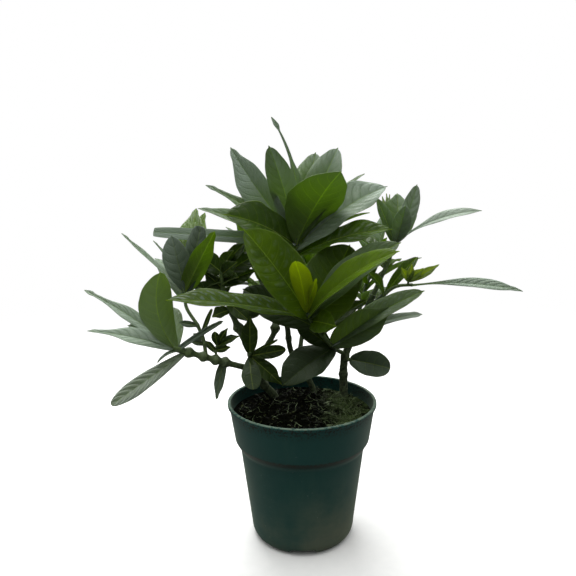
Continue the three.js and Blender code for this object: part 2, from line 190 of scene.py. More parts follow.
mm = 0.001
floor_radius = 1600
floor_sides = 96
shown_fade = (0.25, 1.3)
hidden_fade = (0.1, 0.5)
floor = link_piece("floor", turned("floor", [(floor_radius, 0), (0, 0)], floor_sides))
card, place = new_finish("pale card")
seen = place.add("ShaderNodeLightPath")["Is Camera Ray"]
paper = place.add("ShaderNodeBsdfPrincipled", {
    "Base Color": blend(seen, 0x8a8e88, blend(mottle(place, 90, 4), 0xeff0ee, 0xf7f7f5)),
    "Roughness": 0.8,
})
far = place.of("LENGTH")
fade = seen * far.ramp(*shown_fade) + (1 - seen) * far.ramp(*hidden_fade)
surface = place.add("ShaderNodeMixShader", {0: fade, 1: paper, 2: place.add("ShaderNodeBsdfTransparent")})
place.add("ShaderNodeOutputMaterial", {"Surface": surface})
floor.data.materials.append(card)

low_light, ceiling_light, back_light = 0.12, 1.05, 0.2
room = bpy.data.worlds.new("white room")
room.use_nodes = True
room.node_tree.nodes.clear()
bpy.context.scene.world = room
toward = Wire(room.node_tree).add("ShaderNodeTexCoord")["Generated"].axes()
overhead = toward["Z"].ramp(0.3, 0.75)
wall_light = low_light + overhead * ceiling_light + toward["Y"].ramp(-0.2, 0.9) * (1 - overhead) * back_light
seen = toward.add("ShaderNodeLightPath")["Is Camera Ray"]
brightness = seen + (1 - seen) * wall_light
wall_paint = toward.add("ShaderNodeBackground", {"Color": (1, 1, 1, 1), "Strength": brightness})
toward.add("ShaderNodeOutputWorld", {"Surface": wall_paint})

softboxes = {
    "back_top": [(-0.2, 0.8, 1.5), 1.2, 28],
    "front_top": [(-0.25, -0.35, 1.8), 1.0, 9],
}
plant_middle = Vector((0, 0, 0.26))
for name, (stand, size, power) in softboxes.items():
    lamp = bpy.data.lights.new(name, "AREA")
    lamp.shape = "DISK"
    lamp.size = size
    lamp.energy = power
    holder = bpy.data.objects.new(name, lamp)
    aim = (plant_middle - Vector(stand)).to_track_quat("-Z", "Y").to_matrix().to_4x4()
    holder.matrix_world = Matrix.Translation(stand) @ aim
    bpy.context.collection.objects.link(holder)
bpy.context.scene.view_settings.view_transform = "Standard"


# The pot is one thin shell of dark green plastic, moulded with a lip, a collar over a shoulder,
# a tapered body, channels under the foot and drain holes. Its lip is scuffed pale with use.
# Shade under the collar and light on the right side are painted into its colour.
pot_height = 146
pot_sides = 144
wall = 1.6
rim_radius = 76.8
lip_height = 3.2
lip_round = 1.3
lip_foot = pot_height - lip_height
collar_top = (75, lip_foot)
collar_foot = (69.7, 107)
body_top = (64.4, 98)
bend_round = 1.5
body_foot_radius = 54
foot_radius = 44
fillet_height = 14
fillet_steps = 10
channel_count = 4
channel_height = 7
channel_widths = (32, 23)
channel_reach = (29, 56)
cover_base = 0.5
drain_radius = 4
drain_ring = 37
drain_sides = 24
drain_foot, drain_top = -2, 12
sharp_turn = 40


def eased(corners, radius, steps=4):
    """A path whose inner corners are rounded off"""
    path = [corners[0]]
    for before, corner, after in zip(corners, corners[1:], corners[2:]):
        corner = Vector(corner)
        back, ahead = Vector(before) - corner, Vector(after) - corner
        cut = min(radius, back.length / 2, ahead.length / 2)
        start_point = corner + back.normalized() * cut
        end_point = corner + ahead.normalized() * cut
        for i in range(steps + 1):
            share = i / steps
            path.append(tuple(start_point.lerp(corner, share).lerp(corner.lerp(end_point, share), share)))
    return path + [corners[-1]]


def foot_corner(inset, base):
    """The pot's rounded lower corner, from its flat foot up to its side"""
    turns = [math.pi / 2 * i / fillet_steps for i in range(fillet_steps + 1)]
    spread = body_foot_radius - foot_radius
    return [(foot_radius - inset + spread * math.sin(turn), base + fillet_height * (1 - math.cos(turn)))
            for turn in turns]


def prism(name, section, reach, turn):
    """A bar along a radius of the pot, with this section of (across, height) points"""
    count = len(section)
    points = [Matrix.Rotation(turn, 3, "Z") @ Vector((far, across, height)) * mm
              for far in reach for across, height in section]
    faces = [[i, (i + 1) % count, (i + 1) % count + count, i + count] for i in range(count)]
    faces += [list(range(count))[::-1], list(range(count, 2 * count))]
    mesh = bpy.data.meshes.new(name)
    mesh.from_pydata(points, [], faces)
    return mesh


def carve(piece, operation, meshes):
    """Cut these shapes from a piece, or join them to it"""
    for mesh in meshes:
        tool = link_piece("pot tool", mesh)
        change = piece.modifiers.new("carve", "BOOLEAN")
        change.operation = operation
        change.object = tool
        evaluated = piece.evaluated_get(bpy.context.evaluated_depsgraph_get())
        piece.data = bpy.data.meshes.new_from_object(evaluated)
        piece.modifiers.remove(change)
        bpy.data.objects.remove(tool)


outer_wall = eased([foot_corner(0, 0)[-1], body_top, collar_foot, collar_top], bend_round)
inner_lip = (collar_top[0] - wall, lip_foot)
lip = eased([
    collar_top,
    (rim_radius, lip_foot),
    (rim_radius, pot_height),
    (inner_lip[0], pot_height),
    inner_lip,
], lip_round)
inner_wall = eased([
    inner_lip,
    (collar_foot[0] - wall, collar_foot[1]),
    (body_top[0] - wall, body_top[1]),
    foot_corner(wall, wall)[-1],
], bend_round)
pot_outline = [
    (0, 0),
    *foot_corner(0, 0)[:-1],
    *outer_wall[:-1],
    *lip,
    *inner_wall[1:-1],
    *foot_corner(wall, wall)[::-1],
    (0, wall),
]
pot = link_piece("green_pot", turned("green_pot", pot_outline, pot_sides))
wide, narrow = (width / 2 for width in channel_widths)
channel = [(-wide, -1), (wide, -1), (wide, 0), (narrow, channel_height), (-narrow, channel_height),
           (-wide, 0)]
cover = [(-wide - wall, cover_base), (wide + wall, cover_base), (narrow + wall, channel_height + wall),
         (-narrow - wall, channel_height + wall)]
quarters = [2 * math.pi * i / channel_count for i in range(channel_count)]
cover_reach = (channel_reach[0] - wall, body_foot_radius)
for turn in quarters:
    hump = link_piece("hump", prism("hump", cover, cover_reach, turn))
    carve(hump, "INTERSECT", [turned("body", [(0, 0), *foot_corner(0, 0), (0, fillet_height)], pot_sides)])
    carve(pot, "UNION", [hump.data])
    bpy.data.objects.remove(hump)
carve(pot, "DIFFERENCE", [prism("channel", channel, channel_reach, turn) for turn in quarters])
drain_outline = [(0, drain_foot), (drain_radius, drain_foot), (drain_radius, drain_top), (0, drain_top)]
for i in range(2 * channel_count):
    hole = turned("hole", drain_outline, drain_sides)
    hole.transform(Matrix.Rotation(math.pi * i / channel_count, 4, "Z")
                   @ Matrix.Translation((drain_ring * mm, 0, 0)))
    carve(pot, "DIFFERENCE", [hole])
pot.data.shade_smooth()
pot.data.set_sharp_from_angle(angle=math.radians(sharp_turn))


def painted(colour, *layers):
    """A colour with others laid over it, each with the share that it covers"""
    for share, other in layers:
        colour = blend(share, colour, other)
    return colour


def raised(relief, strength, height):
    """A bumpy surface from a relief, this high at full strength"""
    return relief.add("ShaderNodeBump", {"Height": relief, "Strength": strength, "Distance": height})


def skinned(place, inputs):
    """End a material in one skin with these colours and values"""
    skin = place.add("ShaderNodeBsdfPrincipled", inputs)
    place.add("ShaderNodeOutputMaterial", {"Surface": skin})


pot_green, cloud_green, streak_green, right_glare_green = 0x0f3a36, 0x174844, 0x264b43, 0x5c6a5c
dust_grey, speck_grey, scuff_grey, rim_grey = 0x646856, 0x6c7a6d, 0x5f7168, 0x84947e
shade_green, splash_and_shade_brown = 0x0a1a18, 0x1a120c
dust_top, splashed, right_glare_span = 110, (130, 142.5), (40, 75)
plastic, place = new_finish("moulded green plastic")
axes = (place * (1 / mm)).axes()
right, height = axes["X"], axes["Z"]
over_body = height - body_top[1]
cloudy = mottle(place, 14, 5, 0.6)
streaked = mottle(place * Vector((60, 60, 5)), 1, 6, 0.7)
dots = place.add("ShaderNodeTexVoronoi", {"Vector": place, "Scale": 170})["Distance"]
speck_size = mottle(place, 40, 3)
specks = (1 - dots.ramp(0.05, 0.16)) * speck_size.ramp(0.52, 0.66)
scuffs = mottle(place * Vector((110, 110, 420)), 1, 3).ramp(0.66, 0.74) * speck_size.ramp(0.5, 0.7)
low_dust = (1 - height.ramp(0, dust_top)) * cloudy.ramp(0.3, 0.7) * (0.7 + right.ramp(-30, 50) * 0.6)
rim_wear = height.ramp(pot_height - 1.3, pot_height - 0.2)
nicked = mottle(place, 260, 2).ramp(0.36, 0.52)
fine_spots = mottle(place, 520, 2)
soil_splash = height.ramp(*splashed) * (1 - rim_wear) * fine_spots.ramp(0.5, 0.58)
# Painted shade: a dark band just under the collar, where its overhang shades the body.
shoulder = over_body.ramp(2, 5.5) * (1 - over_body.ramp(7.5, 10))
# Painted shade: a dotted dark line in the crease under the collar, in the same brown as the real soil
# splashes.
crease_shade = over_body.ramp(5.5, 7.5) * (1 - over_body.ramp(8.5, 10.5)) * fine_spots.ramp(0.42, 0.56)
skinned(place, {
    "Base Color": painted(
        tint(pot_green),
        (cloudy, cloud_green),
        (streaked.ramp(0.45, 0.8) * 0.5, streak_green),
        # Painted light: the pot's right side is painted paler, standing in for light falling on that side.
        (right.ramp(*right_glare_span) * (0.2 + cloudy * 0.3), right_glare_green),
        (low_dust * 0.75, dust_grey),
        (specks * 0.4, speck_grey),
        (scuffs * 0.3, scuff_grey),
        (shoulder * 0.85, shade_green),
        ((soil_splash + crease_shade).at_most(1) * 0.8, splash_and_shade_brown),
        (rim_wear * (0.04 + nicked * 0.42), rim_grey),
    ),
    "Roughness": 0.5 + streaked * 0.12 + low_dust * 0.2 + rim_wear * 0.1,
    "Specular IOR Level": 0.22,
    "Sheen Weight": 0.28,
    "Sheen Roughness": 0.4,
    "Sheen Tint": tint(0xb0b8a4),
    "Normal": raised(cloudy * 0.3 + streaked * 0.4 + mottle(place, 900, 2) * 0.3, 0.35, 0.4 * mm),
})
pot.data.materials.clear()
pot.data.materials.append(plastic)
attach(pot, "root")
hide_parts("pot")


# The potting mix is dark peat, heaped to a low mound below the lip. Crumbs lie all over it, with
# pale rotted fibres and rootlets among them, and moss has begun to grow on its right side.
soil_height = 133
soil_foot = 9.4
soil_inset = wall + 0.3
mound = 3
lump_height = 1.56
lump_widths = (5.1, 4.3, 3.7)
pit_height = 1.3
pit_width = 7
soil_rings = 46
soil_sides = 150
collar_share = (soil_height - collar_foot[1]) / (collar_top[1] - collar_foot[1])
soil_radius = collar_foot[0] + (collar_top[0] - collar_foot[0]) * collar_share - soil_inset


def soil_top(x, y):
    """How high the mix stands at a place, in millimetres"""
    inward = max(0, 1 - math.hypot(x, y) / soil_radius)
    calm = min(1, 4 * inward)
    long, wide, slant = lump_widths
    lumps = (math.sin(x / long + 1) * math.cos(y / wide) + math.sin((x + y) / slant)) / 2
    pits = noise.fractal(Vector((x, y, 0)) / pit_width, 0.8, 2.1, 5)
    return soil_height + mound * inward + calm * (lump_height * lumps + pit_height * pits)


def new_tree(name, **sockets):
    """A Geometry Nodes tree with its inputs named by kind, and the wire of its Geometry"""
    tree = bpy.data.node_groups.new(name, "GeometryNodeTree")
    tree.interface.new_socket("Geometry", in_out="OUTPUT", socket_type="NodeSocketGeometry")
    for kind, labels in {"Geometry": ["Geometry"], **sockets}.items():
        for label in labels:
            tree.interface.new_socket(label, in_out="INPUT", socket_type="NodeSocket" + kind)
    return tree, Wire(tree).add("NodeGroupInput")


def grown(piece, tree, sizes):
    """Run a tree on a piece with these sizes, and keep what it makes as the piece's own mesh"""
    change = piece.modifiers.new(tree.name, "NODES")
    change.node_group = tree
    for socket in tree.interface.items_tree:
        if socket.in_out == "INPUT" and socket.name in sizes:
            change[socket.identifier] = sizes[socket.name]
    graph = bpy.context.evaluated_depsgraph_get()
    evaluated = piece.evaluated_get(graph)
    piece.data = bpy.data.meshes.new_from_object(evaluated, preserve_all_data_layers=True, depsgraph=graph)
    piece.modifiers.remove(change)
    for i in reversed(range(len(piece.data.materials))):
        if piece.data.materials[i] is None:
            piece.data.materials.pop(index=i)
    return piece


def chance(given, low, high, seed):
    """A number, or a vector, that differs from point to point between two values"""
    if isinstance(low, tuple):
        inputs = {0: low, 1: high, "Seed": seed}
        return given.add("FunctionNodeRandomValue", inputs, data_type="FLOAT_VECTOR")
    return given.add("FunctionNodeRandomValue", {2: low, 3: high, "Seed": seed}, data_type="FLOAT")


def marked(geometry, values, **settings):
    """The same geometry, carrying these values under their names"""
    for name, value in values.items():
        inputs = {"Geometry": geometry, "Name": name, "Value": value}
        geometry = geometry.add("GeometryNodeStoreNamedAttribute", inputs, **settings)
    return geometry


def moved(geometry, offset):
    """The same geometry, with each of its points moved by an offset of its own"""
    return geometry.add("GeometryNodeSetPosition", {"Geometry": geometry, "Offset": offset})


def coated(geometry, finish):
    """The same geometry in one finish"""
    return geometry.add("GeometryNodeSetMaterial", {"Geometry": geometry, "Material": finish})


def strewn(given, density, shape, turn, scale, seed):
    """Copies of a shape all over a mesh's upper side, no further from the axis than Reach"""
    upward = given.add("GeometryNodeInputNormal").axes()["Z"]
    from_axis = (given.add("GeometryNodeInputPosition") * Vector((1, 1, 0))).of("LENGTH")
    points = given.add("GeometryNodeDistributePointsOnFaces", {
        "Mesh": given, "Density": density, "Seed": given["Seed"],
        "Selection": upward.of("GREATER_THAN", 0.3) * from_axis.of("LESS_THAN", given["Reach"]),
    })
    copies = given.add("GeometryNodeInstanceOnPoints", {
        "Points": points, "Instance": shape, "Rotation": turn, "Scale": scale,
    })
    copies = marked(copies, {"kind": chance(given, 0, 1, seed)}, domain="INSTANCE")
    return given.add("GeometryNodeRealizeInstances", {"Geometry": copies})


def carried(place, name, output="Fac"):
    """A value that the piece carries under this name, for its material"""
    return place.add("ShaderNodeAttribute", attribute_name=name)[output]


soil_outline = [(0, soil_foot), *foot_corner(soil_inset, soil_foot),
                (body_top[0] - soil_inset, body_top[1]), (collar_foot[0] - soil_inset, collar_foot[1])]
soil_outline += [(soil_radius * (1 - i / soil_rings), soil_height) for i in range(soil_rings + 1)]
mix = link_piece("potting_mix", turned("potting_mix", soil_outline, soil_sides))
for vertex in mix.data.vertices:
    if vertex.co.z > (soil_height - 0.1) * mm:
        vertex.co.z = soil_top(vertex.co.x / mm, vertex.co.y / mm) * mm
mix.data.shade_smooth()
bare_top = mix.data.copy()

tree, given = new_tree(
    "Scattered crumbs", Float=["Count", "Smallest", "Largest", "Reach"], Int=["Seed"], Material=["Finish"])
any_turn = 6.3
position = given.add("GeometryNodeInputPosition")
pebble = given.add("GeometryNodeMeshIcoSphere", {"Radius": 1, "Subdivisions": 1})
size = given["Smallest"] + chance(given, 0, 1, 5) ** 3 * (given["Largest"] - given["Smallest"])
size = chance(given, (0.6, 0.6, 0.4), (1.4, 1.1, 0.8), 8) * size
turn = chance(given, (0, 0, 0), (any_turn, any_turn, any_turn), 3)
crumbs = strewn(given, given["Count"], pebble, turn, size, 11)
ragged = mottle(position, 1400, 1)["Color"] - Vector((0.5, 0.5, 0.5))
crumbs = moved(crumbs, ragged * (given["Smallest"] * 1.6))
whole = given.add("GeometryNodeJoinGeometry", {"Geometry": [given, crumbs]})
given.add("NodeGroupOutput", {"Geometry": coated(whole, given["Finish"])})

black_peat, brown_peat, crumb_brown, crumb_grey = 0x040502, 0x0b0d07, 0x16170d, 0x3f432a
deep_moss, pale_moss, hollow_shade_black = 0x2c3c1c, 0x6f8650, 0x030302
peat, place = new_finish("damp peat")
kind = carried(place, "kind")
right = place.axes()["X"]
damp = mottle(place, 60, 4)
crumbly = mottle(place, 700, 5, 0.7)
moss = right.ramp(12 * mm, 55 * mm) * damp.ramp(0.36, 0.6)
skinned(place, {
    "Base Color": painted(
        tint(black_peat),
        (damp.ramp(0.35, 0.65), brown_peat),
        (kind.ramp(0.6, 0.95), crumb_brown),
        (kind.ramp(0.95, 0.99), crumb_grey),
        (moss * 0.75, blend(crumbly, deep_moss, pale_moss)),
        # Painted shade: part of the fine mottle is darkened to near black, as shade in the hollows between
        # crumbs.
        (crumbly.ramp(0.35, 0.75) * 0.5, hollow_shade_black),
    ),
    "Roughness": 0.85 + crumbly * 0.15,
    "Specular IOR Level": 0.02,
    "Normal": raised(crumbly, 0.7, 0.6 * mm),
})
grown(mix, tree, {
    "Count": 300000.0, "Smallest": 0.5 * mm, "Largest": 2.3 * mm, "Reach": 68 * mm, "Seed": 4, "Finish": peat,
})
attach(mix, "root")
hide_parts("soil")

tree, given = new_tree(
    "Strewn fibres", Float=["Count", "Length", "Radius", "Curl", "Lift", "Reach"], Int=["Seed"],
    Material=["Finish"])
position = given.add("GeometryNodeInputPosition")
right = position.axes()["X"]
thread = given.add("GeometryNodeCurvePrimitiveLine", {"Start": (-0.5, 0, 0), "End": (0.5, 0, 0)})
thread = given.add("GeometryNodeResampleCurve", {"Curve": thread, "Count": 8})
section = given.add("GeometryNodeCurvePrimitiveCircle", {"Resolution": 3, "Radius": 1})
strand = given.add("GeometryNodeCurveToMesh", {"Curve": thread, "Profile Curve": section, "Fill Caps": True})
reach = given["Length"] * chance(given, 0.35, 1.5, 23)
thick = given["Radius"] * chance(given, 0.6, 1.5, 25)
size = given.add("ShaderNodeCombineXYZ", {0: reach, 1: thick, 2: thick})
turn = chance(given, (0, -0.5, 0), (any_turn, 0.5, any_turn), 21)
fibres = strewn(given, given["Count"] * (0.7 + right.ramp(0, 50 * mm) * 2.6), strand, turn, size, 27)
curl = (mottle(position, 130, 2)["Color"] - Vector((0.5, 0.5, 0.35))) * given["Curl"]
fibres = moved(fibres, curl + given.add("ShaderNodeCombineXYZ", {2: given["Lift"]}))
given.add("NodeGroupOutput", {"Geometry": coated(fibres, given["Finish"])})

rotted_brown, fibre_green, fibre_pale, mossy_green = 0x0e120a, 0x55683e, 0xa8ba8e, 0x6c8446
wet_brown = 0x1c1e12
straw, place = new_finish("rotted fibre")
kind = carried(place, "kind")
right = place.axes()["X"]
patchy = mottle(place, 300, 3)
skinned(place, {
    "Base Color": painted(
        tint(rotted_brown),
        (kind.ramp(0.4, 0.8), fibre_green),
        (kind.ramp(0.84, 0.98), fibre_pale),
        (right.ramp(10 * mm, 50 * mm) * 0.5, mossy_green),
        (patchy.ramp(0.4, 0.7) * 0.6, wet_brown),
    ),
    "Roughness": 0.75,
    "Normal": raised(patchy, 0.5, 0.1 * mm),
})
fibre = grown(link_piece("peat_fibres", bare_top), tree, {
    "Count": 30000.0, "Length": 9 * mm, "Radius": 0.17 * mm, "Curl": 9 * mm, "Lift": 1.1 * mm,
    "Reach": 64 * mm, "Seed": 6, "Finish": straw,
})
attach(fibre, "root")


# Three woody trunks stand in the mix. They are rooted cuttings, grey-green with brown cracked
# bark low down, and they have a ring at each old leaf and a knob where a twig was cut.
def smooth_line(places, step):
    """Points at even steps on a centripetal curve through the places"""
    ends = [2 * places[0] - places[1], *places, 2 * places[-1] - places[-2]]
    raw = [places[0]]
    pieces = 30
    for a, b, c, d in zip(ends, ends[1:], ends[2:], ends[3:]):
        first, middle, last = ((q - p).length ** 0.5 for p, q in ((a, b), (b, c), (c, d)))
        leave = ((b - a) / first - (c - a) / (first + middle) + (c - b) / middle) * middle
        arrive = ((c - b) / middle - (d - b) / (middle + last) + (d - c) / last) * middle
        raw += interpolate_bezier(b, b + leave / 3, c - arrive / 3, c, pieces + 1)[1:]
    far = [0]
    for p, q in zip(raw, raw[1:]):
        far.append(far[-1] + (q - p).length)
    count = max(6, round(far[-1] / step))
    even = numpy.linspace(0, far[-1], count + 1)
    return [Vector(spot) for spot in zip(*(numpy.interp(even, far, axis) for axis in zip(*raw)))]


def skein(name, line, radii, ages, leaves=()):
    """A mesh to grow a stem on: its line as edges, and a loose point where each leaf starts"""
    mesh = bpy.data.meshes.new(name)
    feet = [leaf["foot"] for leaf in leaves]
    mesh.from_pydata([*line, *feet], [(i, i + 1) for i in range(len(line) - 1)], [])
    records = [{"thickness": radius, "age": age} for radius, age in zip(radii, ages)]
    records += [{"leaf": 1, **leaf} for leaf in leaves]
    for i, record in enumerate(records):
        for key, value in record.items():
            kind, field = ("FLOAT_VECTOR", "vector") if isinstance(value, Vector) else ("FLOAT", "value")
            layer = mesh.attributes.get(key) or mesh.attributes.new(key, kind, "POINT")
            setattr(layer.data[i], field, value)
    return mesh


def named(given, name, kind="FLOAT"):
    """A value that the mesh carries under this name, inside a tree"""
    return given.add("GeometryNodeInputNamedAttribute", {"Name": name}, data_type=kind)


def stem_part(given, thread):
    """Skin a stem's line with round bark that swells and cracks, inside a tree"""
    curve = given.add("GeometryNodeMeshToCurve", {0: thread})
    section = given.add("GeometryNodeCurvePrimitiveCircle", {"Resolution": given["Sides"], "Radius": 1})
    skin = given.add("GeometryNodeCurveToMesh", {
        "Curve": curve, "Profile Curve": section, "Scale": named(given, "thickness"), "Fill Caps": True,
    })
    bumps = mottle(given.add("GeometryNodeInputPosition"), 420, 3) - 0.5
    rough = bumps * given["Roughness"] * (0.25 + named(given, "age"))
    skin = moved(skin, given.add("GeometryNodeInputNormal") * rough)
    return coated(given.add("GeometryNodeSetShadeSmooth", {0: skin}), given["Bark"])


def swollen(count, radii, knots, swell):
    """A stem's radius at each step: it thins out evenly and swells at each knot"""
    values = []
    for i in range(count):
        along = i / (count - 1)
        bulge = sum(math.exp(-((along - knot) / knot_length) ** 2) for knot in knots)
        values.append((radii[0] + (radii[1] - radii[0]) * along) * (1 + swell * min(1, bulge)) * mm)
    return values


trunk_tree, given = new_tree("Woody trunk", Int=["Sides"], Float=["Roughness"], Material=["Bark"])
given.add("NodeGroupOutput", {"Geometry": stem_part(given, given)})

bark, place = new_finish("bark and green stem")
age = carried(place, "age")
flecks = mottle(place, 330, 6, 0.7)
cracks = mottle(place * Vector((900, 900, 130)), 1, 3)
young_stem = blend(flecks.ramp(0.3, 0.7), 0x3b5026, 0x667c44)
old_stem = blend(flecks.ramp(0.35, 0.65), 0x333f29, 0x6b7958)
crack_brown = 0x1d1a10
skinned(place, {
    "Base Color": painted(young_stem, (age, old_stem), (cracks.ramp(0.56, 0.7) * age, crack_brown)),
    "Roughness": 0.5 + age * 0.3,
    "Normal": raised(cracks * 0.6 + flecks * 0.4, 0.6, 0.5 * mm),
})

root_height = 110
trunks = {
    "trunk_left": [[(-29, 36, root_height), (-29, 36, 133), (-42, 27, 154), (-48, 21, 172), (-54, 18, 193)],
                   (4.6, 4), (0.5, 0.72, 0.95)],
    "trunk_middle": [[(14, 52, root_height), (14, 54, 133), (2, 46, 161), (-11, 36, 186), (-15, 25, 219)],
                     (3.6, 2.8), (0.45, 0.66, 0.86)],
    "trunk_right": [[(44, 38, root_height), (46, 40, 133), (47, 33, 182), (60, 31, 212), (76, 32, 249)],
                    (5, 3.2), (0.35, 0.5, 0.66, 0.82)],
}
trunk_step = 1.2 * mm
trunk_swell = 0.22
top_age = 0.7
knot_length = 0.02
for name, (places, radii, knots) in trunks.items():
    line = smooth_line([Vector(place) * mm for place in places], trunk_step)
    ages = [1 - (1 - top_age) * i / (len(line) - 1) for i in range(len(line))]
    mesh = skein(name + "_wood", line, swollen(len(line), radii, knots, trunk_swell), ages)
    trunk = grown(link_piece(name + "_wood", mesh), trunk_tree, {
        "Sides": 20, "Roughness": 1.1 * mm, "Bark": bark,
    })
    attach(trunk, "root")
    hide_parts(name)


# Every leaf is a leathery blade on a short stalk: a pale midrib lies in a groove above and
# stands out below, and the side veins pull the blade into quilted rows. The edge is a little wavy.
shoot_tree, given = new_tree(
    "Leafy shoot",
    Int=["Sides", "Steps Along", "Steps Across"],
    Float=["Roughness", "Thickness", "Stalk", "Vein Spacing", "Rib"],
    Material=["Bark", "Blade"],
)
row_shift = 0.09
tail_length, tail_half, neck_length = 0.025, 0.026, 0.28
edge_play, edge_waves, edge_thinning = 0.16, 14, 0.45
vein_slant, twist_from, stalk_fade, tail_rows = 0.1, 0.35, 8, (0.86, 0.94)
rib_taper, rib_groove, rib_ridge = 0.7, 0.6, 1.3
parts = given.add("GeometryNodeSeparateGeometry", {"Geometry": given, "Selection": named(given, "leaf")})
stem = stem_part(given, parts["Inverted"])
blank = given.add("GeometryNodeMeshCube", {
    "Size": (1, 2, 1), "Vertices X": given["Steps Along"], "Vertices Y": given["Steps Across"],
    "Vertices Z": 2,
})
cut = given.add("GeometryNodeInputPosition").axes()
along = cut["X"] + 0.5
closer_rows = along - (along * 2 * math.pi).of("SINE") * row_shift
blank = marked(blank, {"u": closer_rows, "t": cut["Y"], "top": cut["Z"] + 0.5})
blades = given.add("GeometryNodeInstanceOnPoints", {"Points": parts["Selection"], "Instance": blank})
blades = given.add("GeometryNodeRealizeInstances", {"Geometry": blades})

# Over a blade u goes from 0 at its foot to 1 at its tip, and v goes from -1 to 1 across it
u, t, top, seed, width, arch, belly, fullness, neck, neck_at = (
    named(given, name)
    for name in ("u", "t", "top", "seed", "width", "arch", "belly", "fullness", "neck", "neck_at"))
twist, wave, bend, droop, fold, quilting = (
    named(given, name) for name in ("twist", "wave", "bend", "droop", "fold", "quilting"))
foot, reach, across, face = (
    named(given, name, "FLOAT_VECTOR") for name in ("foot", "reach", "across", "face"))
length = reach.of("LENGTH")
side = t.of("SIGN")
near = t.of("ABSOLUTE")
v = side * near * near * (3 - near * 2)
off = v.of("ABSOLUTE")

has_tail = neck.ramp(0, 0.25)
body_place = (u * (1 + has_tail * tail_length)).at_most(1).at_least(0.0001)
outline = (body_place ** belly * math.pi).of("SINE").at_least(0) ** fullness
drawn_out = 1 - u.ramp(neck_at, neck_at + neck_length) * neck
tail = has_tail * u.ramp(*tail_rows) * (12 - u * 12).at_least(0) ** 0.7 * length * tail_half
edge_place = given.add("ShaderNodeCombineXYZ", {0: u * 3.5 + seed * 60, 1: side * 4})
uneven = mottle(edge_place, 1, 2, noise_dimensions="2D")
stalk = given["Stalk"] * (1 - u) ** stalk_fade
body_half = outline * drawn_out * (1 + (uneven - 0.5) * edge_play) * width * 0.5 + stalk
half = (body_half * body_half + tail * tail) ** 0.5

vein = (u - (off + off ** 3) * vein_slant) * length / given["Vein Spacing"] + seed
ridges = (vein * math.pi).of("COSINE").of("ABSOLUTE")
quilt = ridges * off * (1 - off ** 3) * (u * 3).at_most(1) * (3 - u * 3).at_most(1) * quilting
rib_near = ((half * off / (given["Rib"] * 2)) ** 2 * -1).of("EXPONENT") * (1 - u * rib_taper)
fold_lift = half * fold.of("SINE") * (off * 1.6 - off * off * 0.6)
ripple = (u * edge_waves + seed * 40 + v * 1.3).of("SINE") * (off ** 3) * half * wave
rise = arch * length * 4 * u * (1 - u) - droop * length * u ** 4
thickness = given["Thickness"] * (1 - off * edge_thinning) + stalk * 1.4
under = (1 - top) * (thickness + rib_near * given["Rib"] * rib_ridge)
lift = fold_lift + ripple + quilt - rib_near * given["Rib"] * top * rib_groove - under
out = v * half * fold.of("COSINE")
turn = twist * (u - twist_from)
turned_across = across * turn.of("COSINE") + face * turn.of("SINE")
turned_face = face * turn.of("COSINE") - across * turn.of("SINE")
spine = foot + reach * u + face * rise + across * (bend * length * 4 * u * (1 - u))
spot = spine + turned_across * out + turned_face * lift
blades = given.add("GeometryNodeSetPosition", {"Geometry": blades, "Position": spot})
blades = marked(blades, {"vein": vein, "across_share": v, "from_rib": off * half / mm})
laid_flat = given.add("ShaderNodeCombineXYZ", {0: u * length / mm, 1: v * half / mm, 2: seed * 90})
blades = marked(blades, {"laid_flat": laid_flat}, data_type="FLOAT_VECTOR")
blades = coated(given.add("GeometryNodeSetShadeSmooth", {0: blades}), given["Blade"])
whole = given.add("GeometryNodeJoinGeometry", {"Geometry": [stem, blades]})
given.add("NodeGroupOutput", {"Geometry": whole})

# The middle and the reach of the painted glare that pales the outer leaves.
glare_middle = Vector((0.01, 0, 0.251))
glare_reach = (100 * mm, 168.75 * mm)
vein_green, rib_green, edge_highlight_green, lower_rib_green = 0x7f9148, 0x9aac52, 0x869a52, 0x94a650
shaded_green, glare_grey, pale_glare, gloss_grey = 0x142804, 0x9aab9c, 0xc4d0c2, 0xaebba8


